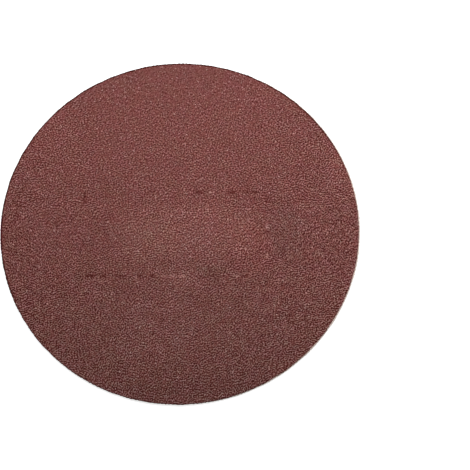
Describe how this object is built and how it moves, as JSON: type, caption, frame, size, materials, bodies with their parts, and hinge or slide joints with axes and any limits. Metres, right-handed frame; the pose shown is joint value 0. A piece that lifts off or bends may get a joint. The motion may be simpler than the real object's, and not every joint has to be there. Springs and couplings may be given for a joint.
{
  "type": "hook and loop sanding disc",
  "caption": "Round sanding disc: a coated abrasive sheet bonded to a ribbed loop fabric backing that grips a hook-faced pad.",
  "frame": {"origin": "middle of the disc's underside, on the crests of the loop fabric's rows", "axes": "+Z out of the abrasive face; the loop fabric's rows run along X and repeat along Y"},
  "size_m": [0.125, 0.125, 0.0016],
  "materials": {
    "abrasive_grain": "rough reddish-brown abrasive grain bonded to paper",
    "loop_fabric": "cream knitted loop pile in fine rows"
  },
  "bodies": {
    "root": {"abrasive_sheet": "abrasive_grain", "loop_backing": "loop_fabric"}
  },
  "joints": []
}
